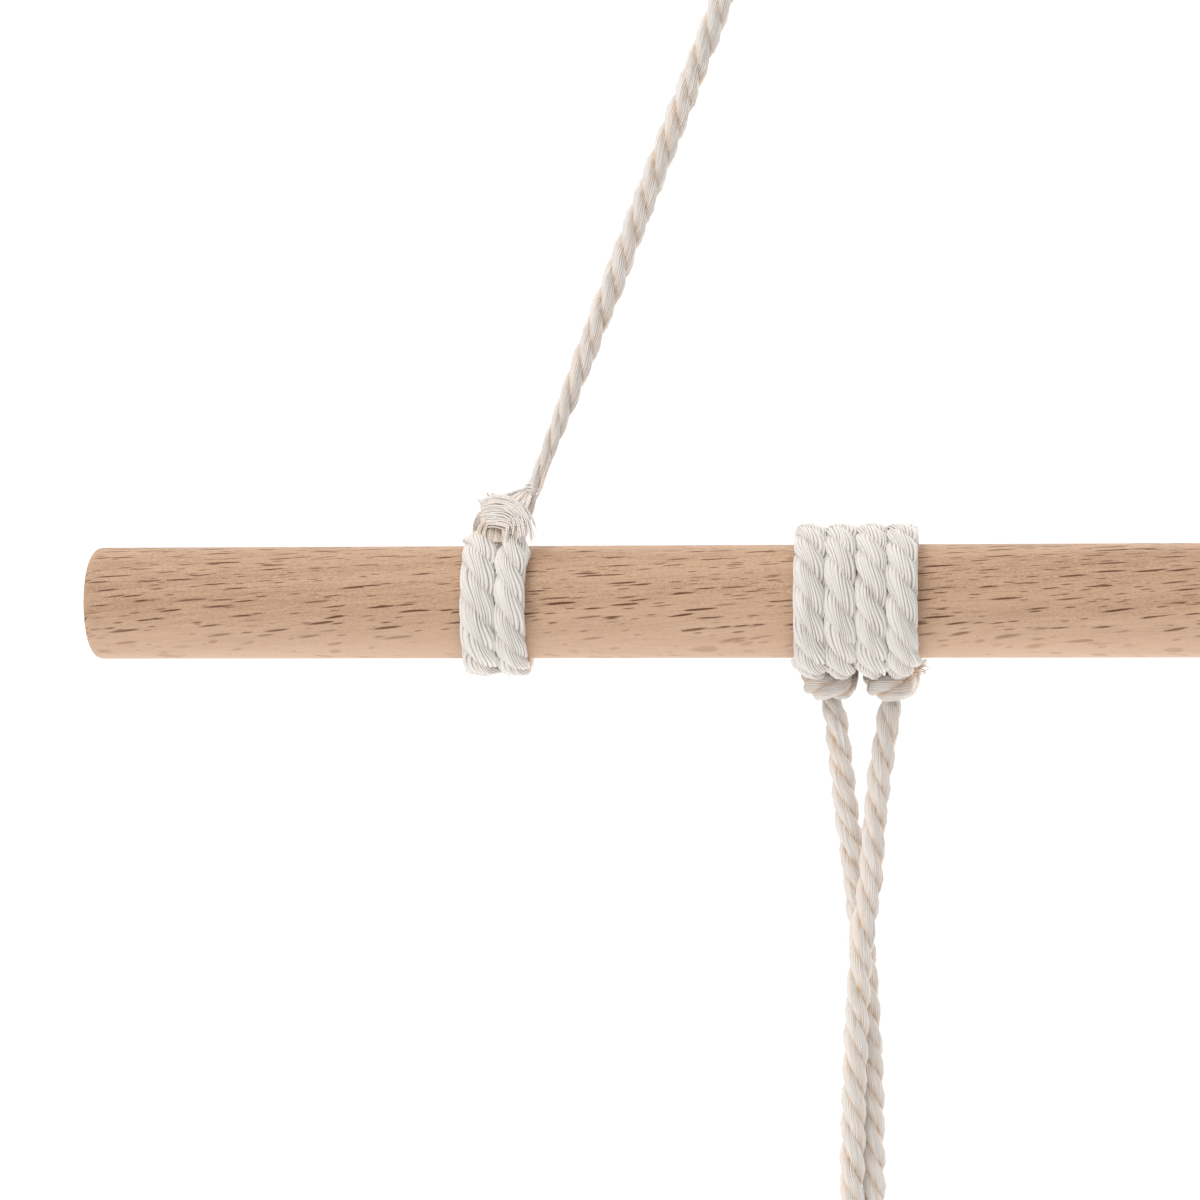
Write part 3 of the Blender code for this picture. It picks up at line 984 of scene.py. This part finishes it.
def lay_under_band(bundle):
    """The yarns in the shade under the band, those of the right wrap that rise into it, and those
    that go down behind."""
    # The groove values paint these yarns darker, as the shade under the band.
    for _ in range(YARNS["shade"]):
        x, groove = bundle.between(-2.6, 1.4), bundle.between(0.2, 0.7)
        behind = bundle.near(0.4) - 3.8 + 0.2 * abs(x)
        bundle.lay(by_tie((x, behind - 0.9, 7.9), (x + bundle.near(0.4), behind, 9.6),
                          (x * 0.9 + 0.3, behind, 11.0), (x * 0.8 + 0.6, behind + 1.2, 12.4)),
                   0.18, groove)
    for _ in range(YARNS["rising"]):
        x, off = bundle.between(0.9, 3.1), bundle.near(0.25)
        bundle.lay(by_tie((x + 0.5, -5.9, 7.1), (x + off * 0.5, -5.6, 8.6),
                          (x - 0.3 + off, -5.0 + off, 10.2), (x - 0.2 + off, -3.6, 11.6)),
                   0.16, bundle.between(0.0, 0.25))
    for _ in range(YARNS["behind"]):
        off = bundle.near(0.5)
        bundle.lay(by_tie((-2.5 + off, -1.6, 12.0), (-3.1 + off, -0.9, 11.2),
                          (-3.6 + off, 0.4, 10.1), (-3.8 + off, 2.2, 9.2)), 0.16, 0.2)


print("the band passes", len(BAND_WAY), "places")

# %% Lay the neck of a tie
NECK_FOOT = 14.5 * MM               # above the dowel's axis


def lay_binding(bundle, line):
    """The yarn that binds the neck, in two short coils."""
    start = line.along[int(np.argmax(line.centre[:, 2] - DOWEL_Z > NECK_FOOT))]
    for turns, first_angle, reach in ((1.7, 0.5, 0.98), (0.8, 2.2, 1.14)):
        count = round(turns * 12)
        coil = []
        for k in range(count + 1):
            angle = first_angle + turns * math.tau * k / count
            radius = (reach + bundle.near(0.05)) * MM
            coil.append(in_section(line, start + 0.8 * MM * k / count,
                                   radius * math.cos(angle), radius * math.sin(angle)))
        bundle.lay(coil, 0.17)


def lay_neck(bundle):
    """The yarns beside the neck, its flared foot and two cut stubs."""
    beside = ((6.2, 21.0), (6.3, 19.0), (5.65, 17.2), (5.2, 15.8), (4.9, 14.9), (4.2, 13.6))
    for _ in range(YARNS["beside neck"]):
        off, behind = bundle.near(0.22), bundle.near(0.5) - 0.3
        bundle.lay(by_tie(*((x + off + bundle.near(0.06), behind, z) for x, z in beside)), 0.14)
    for _ in range(YARNS["flare"]):
        far, deep = bundle.chance.random() ** 1.3, bundle.chance.random()
        foot = ((3.9, 0.0, 16.2), (3.75 - 0.5 * far, -0.2, 15.1),
                (3.6 - 1.8 * far, -0.6 - 0.5 * far, 14.3 + 0.3 * far),
                (3.5 - 3.2 * far, -1.8 - deep, 13.3 + 0.7 * far),
                (3.3 - 4.6 * far, -2.6 - 1.8 * deep, 12.3 + 1.1 * far))
        jitter = [bundle.near(0.3), bundle.near(0.35), bundle.near(0.15)]
        way = ([c + j * min(1.0, 0.5 + k / 4) for c, j in zip(place, jitter)]
               for k, place in enumerate(foot))
        bundle.lay(by_tie(*way), bundle.chance.choice((0.17, 0.30)), bundle.between(0.0, 0.25))
    for (right, above), (tip_right, tip_above) in (((-1.5, 12.2), (-2.4, 13.5)),
                                                   ((-0.8, 13.0), (-1.2, 14.3))):
        for _ in range(YARNS["stub"]):
            x, behind, z = bundle.near(0.4), bundle.near(0.5) - 2.6, bundle.near(0.25)
            bundle.lay(by_tie(
                (right + x, behind, above),
                ((right + tip_right) / 2 + x * 1.2, behind, (above + tip_above) / 2),
                (tip_right + x * 1.5, behind - 0.2, tip_above + z)), 0.14, end=0.8)


# The yarns of both ties. The right tie is the left one's mirror image, with its own chances.
for tie_name, seed, flip in (("tie_yarns_left", 11, False), ("tie_yarns_right", 12, True)):
    tie_bundle = Bundle(seed, flip)
    lay_band(tie_bundle, lines["hanging_cord"])
    lay_under_band(tie_bundle)
    lay_binding(tie_bundle, lines["hanging_cord"])
    lay_neck(tie_bundle)
    tie_bundle.make(tie_name)

# %% [markdown]
# ### Frayed ends
#
# Where a strand is cut, its twist lets go and its yarns open a little. They start inside the
# plies and go on turning with them, and each ends at its own length.

# %% Lay the frayed ends
def lay_frayed_end(bundle, line, from_start):
    """The last yarns of a strand, a little open at the cut."""
    held = 1.5 * MM                     # how far the yarns reach into the plies
    for sideways, outwards in disc_places(YARNS["end"], bundle):
        length = END_FRAYED + bundle.near(0.9) * MM
        open_by = bundle.between(0.0, 0.55)
        points = []
        for share in (0.0, 0.2, 0.4, 0.6, 0.8, 1.0):
            inside = END_FRAYED + held - (length + held) * share
            distance = max(inside, 0.0) if from_start else line.length - max(inside, 0.0)
            spread = (0.80 + 0.30 * share + open_by * share * share) * CORD_RADIUS
            angle = 0.5 * share
            across = sideways * math.cos(angle) - outwards * math.sin(angle)
            rise = sideways * math.sin(angle) + outwards * math.cos(angle)
            point = in_section(line, distance, across * spread, rise * spread)
            points.append(point + np.array((0.0, 0.0, min(inside, 0.0))))
        bundle.lay(points, bundle.between(0.13, 0.18))


ends_bundle = Bundle(21)
for name in MOUNTED_CORDS:
    lay_frayed_end(ends_bundle, lines[name], True)
    lay_frayed_end(ends_bundle, lines[name], False)
ends_bundle.make("frayed_ends")

# %% [markdown]
# ## Tufts and fluff
#
# The right bar of each mounted cord has a small tuft of fibres pulled out of it, and fine fibres
# stand off all the cotton. The fluff is scattered over the finished plies, one short bent hair
# at each place, because fibres come loose evenly from the whole surface.

# %% Tufts
def lay_tuft(bundle, group_x):
    """The fibres pulled out of the right bar of a mounted cord."""
    for _ in range(YARNS["tuft"]):
        foot = Vector((group_x + 7.6 * MM, 1.6 * MM, DOWEL_Z - 9.2 * MM)) + bundle.off(0.5)
        reach = Vector((bundle.between(0.5, 1.7), -bundle.between(0.3, 2.2),
                        bundle.between(-0.6, 2.0))) * MM
        bow = bundle.off(0.45)
        # The tuft's fibres get painted groove shade.
        bundle.lay([foot, foot + reach * 0.5 + bow, foot + reach], 0.07, groove=0.6)


tuft_bundle = Bundle(31)
for cord in MOUNTED_CORDS.values():
    lay_tuft(tuft_bundle, cord["x"])
tuft_bundle.make("tufts", Step=0.3 * MM)


# %% Fluff
def build_fluff_tree():
    made = GeometryTree("fluff", {"Density": 0.7e5, "Length": 1.0 * MM, "Thickness": 0.014 * MM,
                                  "Seed": 1, "Material": ""})
    tree = made.tree
    seed = made.given("Seed")
    places = add(tree, "GeometryNodeDistributePointsOnFaces",
                 {"Mesh": made.given("Geometry"), "Density": made.given("Density"), "Seed": seed},
                 "Points")
    hair = add(tree, "GeometryNodeCurvePrimitiveBezierSegment", {
        "Resolution": 4, "Start": (0.0, 0.0, -0.05), "Start Handle": (0.0, 0.1, 0.45),
        "End Handle": (0.5, 0.3, 0.6), "End": (0.9, -0.2, 0.55)})
    ring = add(tree, "GeometryNodeCurvePrimitiveCircle",
               {"Resolution": 3, "Radius": made.given("Thickness") / made.given("Length")})
    hair = add(tree, "GeometryNodeCurveToMesh",
               {"Curve": hair, "Profile Curve": ring, "Fill Caps": True})
    spin = add(tree, "FunctionNodeAxisAngleToRotation",
               {"Axis": (0.0, 0.0, 1.0), "Angle": chance(tree, seed) * math.tau})
    turned = add(tree, "FunctionNodeRotateRotation",
                 {"Rotation": places.other("Rotation"), "Rotate By": spin}, rotation_space="LOCAL")
    size = (chance(tree, seed + 5.0) + 0.5) * made.given("Length")
    made.end(add(tree, "GeometryNodeInstanceOnPoints",
                 {"Points": places, "Instance": hair, "Rotation": turned, "Scale": size}))
    return made


fluff_tree = build_fluff_tree()
for number, (cord_name, pieces) in enumerate(plies.items()):
    for ply, piece in enumerate(pieces):
        fluff = fluff_tree.make(f"{cord_name}_fluff_{ply + 1}", piece.data.copy(), cotton,
                                Seed=number * 10 + ply)
        dress(fluff, "cotton")

# %% [markdown]
# ## The dowel
#
# The dowel is a turned bar of beech, sawn square and with its rims eased by sandpaper. It could
# be the construction's own solid with a better material, but that one has forty sides. This one
# has enough to look round in a close-up, and three more steps on the rim.

# %% Turn the dowel
DOWEL_SIDES = 144


def build_dowel():
    bpy.ops.mesh.primitive_cylinder_add(
        vertices=DOWEL_SIDES, radius=DOWEL_RADIUS, depth=DOWEL_LENGTH,
        rotation=(0.0, math.pi / 2, 0.0))
    dowel = bpy.context.object
    dowel.name = "dowel_beech"
    bpy.ops.object.transform_apply(location=True, rotation=True, scale=True)
    dowel.data.transform(Matrix.Translation((0.0, 0.0, DOWEL_Z)))
    rim = dowel.modifiers.new("rim", "BEVEL")
    rim.width = DOWEL_RIM
    rim.segments = 5
    rim.limit_method = "ANGLE"
    rim.angle_limit = math.radians(60)
    dowel.data.shade_smooth()
    return dowel


dowel = build_dowel()
print("dowel turned with", DOWEL_SIDES, "sides")

# %% [markdown]
# ### Beech
#
# Beech is known by its rays: thin upright sheets, a few millimetres long, that cross the growth
# rings. Where the surface cuts them on edge they show as short dark dashes, and where it runs
# along them as broad pale patches. A painted texture would have to be fitted round the bar, so
# the wood is a solid pattern instead, and the bar's surface cuts it as a saw does. Each ray is an
# ellipsoid round the nearest point of a stretched Voronoi pattern.

# %% Make the beech
WOOD_LIGHT = (0.61, 0.395, 0.255)
WOOD_DARK = (0.42, 0.25, 0.15)
# Painted light: the underside is painted paler, as the light from below falls on it, and its rays
# fainter.
WOOD_LIT_UNDERSIDE = (0.72, 0.50, 0.36)      # the paler underside
RAY_DARK = (0.13, 0.05, 0.02)
RAY_FAINT = (0.40, 0.22, 0.12)
GRAIN_BUMP = 0.03 * MM


def rays(tree, wood, cell, half, seed):
    """How deep a point lies in a ray: 1 in its middle and 0 outside. Sizes in mm."""
    scaled = wood * tuple(1.0 / side for side in cell) + (seed, seed * 1.7, seed * 0.6)
    nearest = add(tree, "ShaderNodeTexVoronoi", {"Scale": 1.0, "Vector": scaled}, "Position")
    first, second, _ = nearest.other("Color").parts()
    off = (scaled - nearest) * tuple(side / reach for side, reach in zip(cell, half))
    reach = off.vector("LENGTH") / (first * 0.65 + 0.70)
    return (-(reach.smooth(0.40, 1.0)) + 1.0) * second.smooth(-0.5, 0.5)


def make_beech():
    material, tree, shader = principled("beech")
    place = add(tree, "ShaderNodeTexCoord", output=3) - (0.0, 0.0, DOWEL_Z)
    wood = add(tree, "ShaderNodeVectorRotate",
               {"Rotation": (math.radians(28), math.radians(4), 0.0), "Vector": place * (1.0 / MM)},
               rotation_type="EULER_XYZ")
    bend = noise(tree, wood * (0.05, 0.2, 0.2), output=1)
    wood = wood + (bend - (0.5, 0.5, 0.5)) * (0.0, 1.0, 0.9)

    long_rays = rays(tree, wood, (4.5, 1.7, 1.1), (2.4, 0.8, 0.13), 3.0)
    short_rays = rays(tree, wood, (2.4, 1.2, 0.8), (1.0, 0.45, 0.09), 11.0)
    streaks = noise(tree, wood * (0.16, 2.4, 5.2))
    speckle = noise(tree, wood * (2.4, 15.0, 15.0))
    bands = noise(tree, wood * (0.008, 0.30, 0.42))
    low = -(place * (1.0 / DOWEL_RADIUS)).parts()[2]

    share = ((streaks - 0.5) * 1.7 + (speckle - 0.5) * 3.4 + (bands - 0.5) * 1.6 + 0.45).clamp()
    colour = blend(tree, share, WOOD_LIGHT, WOOD_DARK)
    # Painted light from below: towards the underside the colour turns paler and the rays fade.
    lit_underside = blend(tree, low.smooth(-0.3, 1.0) * 0.55, colour, WOOD_LIT_UNDERSIDE)
    faint = low.smooth(0.35, 0.85)
    darkness = (long_rays * 1.15 + short_rays * 0.85).clamp() * (faint * -0.45 + 1.0)
    relief = streaks + speckle * 0.6 - darkness * 0.5
    bump = add(tree, "ShaderNodeBump", {"Strength": 0.5, "Distance": GRAIN_BUMP, "Height": relief})
    wire_all(tree, shader, {
        "Base Color": blend(tree, darkness, lit_underside, blend(tree, faint, RAY_DARK, RAY_FAINT)),
        "Normal": bump, "Roughness": 0.55, "Specular IOR Level": 0.35})
    return material


dowel.data.materials.append(make_beech())
dress(dowel, "beech", "dowel")
print("beech made with", len(dowel.active_material.node_tree.nodes), "nodes")

# %% [markdown]
# ## The studio
#
# A plain pale floor and soft white light from all round, with a soft light from the upper left and
# one from behind on the right, which rounds the edges. The background is pure white, as in the
# photograph.

# %% Floor, lights and world
FLOOR_Z = -0.50
FLOOR_SIZE = 1.1
FLOOR_GLOW = 0.23
WHITE = (1.0, 1.0, 1.0, 1.0)
PALE = (0.80, 0.80, 0.80, 1.0)
WINDOW_SIDE = (-0.45, -0.45, 0.77)  # from the upper left, in front
WALL_LIGHT, WINDOW_LIGHT, ROOM_LIGHT, SEEN_LIGHT = 1.05, 0.86, 0.33, 1.1


def area_light(name, place, size, watts):
    lamp = bpy.data.objects.new(name, bpy.data.lights.new(name, "AREA"))
    lamp.data.size = size
    lamp.data.energy = watts
    lamp.location = place
    lamp.rotation_euler = (AIM - Vector(place)).to_track_quat("-Z", "Y").to_euler()
    bpy.context.scene.collection.objects.link(lamp)


def white_world():
    world = bpy.data.worlds.new("studio")
    bpy.context.scene.world = world
    world.use_nodes = True
    tree = world.node_tree
    seen = add(tree, "ShaderNodeLightPath", output="Is Camera Ray")
    towards = add(tree, "ShaderNodeTexCoord", output="Generated")
    across, behind, _ = towards.parts()
    window = towards.vector("DOT_PRODUCT", WINDOW_SIDE).smooth(0.1, 1.0)
    wall = behind.smooth(-0.1, 0.9) * (across.smooth(-0.8, 0.5) * 0.7 + 0.6)
    light = wall * WALL_LIGHT + window * WINDOW_LIGHT + ROOM_LIGHT
    wire_all(tree, tree.nodes["Background"],
             {"Color": WHITE, "Strength": light + seen * (-light + SEEN_LIGHT)})


def lay_floor():
    bpy.ops.mesh.primitive_plane_add(size=FLOOR_SIZE, location=(0.0, 0.0, FLOOR_Z))
    floor = bpy.context.object
    floor.name = "floor"
    material, tree, shader = principled("floor")
    wire_all(tree, shader, {"Base Color": PALE, "Roughness": 0.9, "Emission Color": WHITE,
                            "Emission Strength": FLOOR_GLOW})
    floor.data.materials.append(material)


white_world()
area_light("key", (-0.45, -0.50, 0.35), 0.4, 1.9)
area_light("rim", (0.40, 0.44, -0.10), 0.3, 2.6)
lay_floor()
bpy.context.scene.view_settings.view_transform = "Standard"
print("lights:", len(bpy.data.lights))
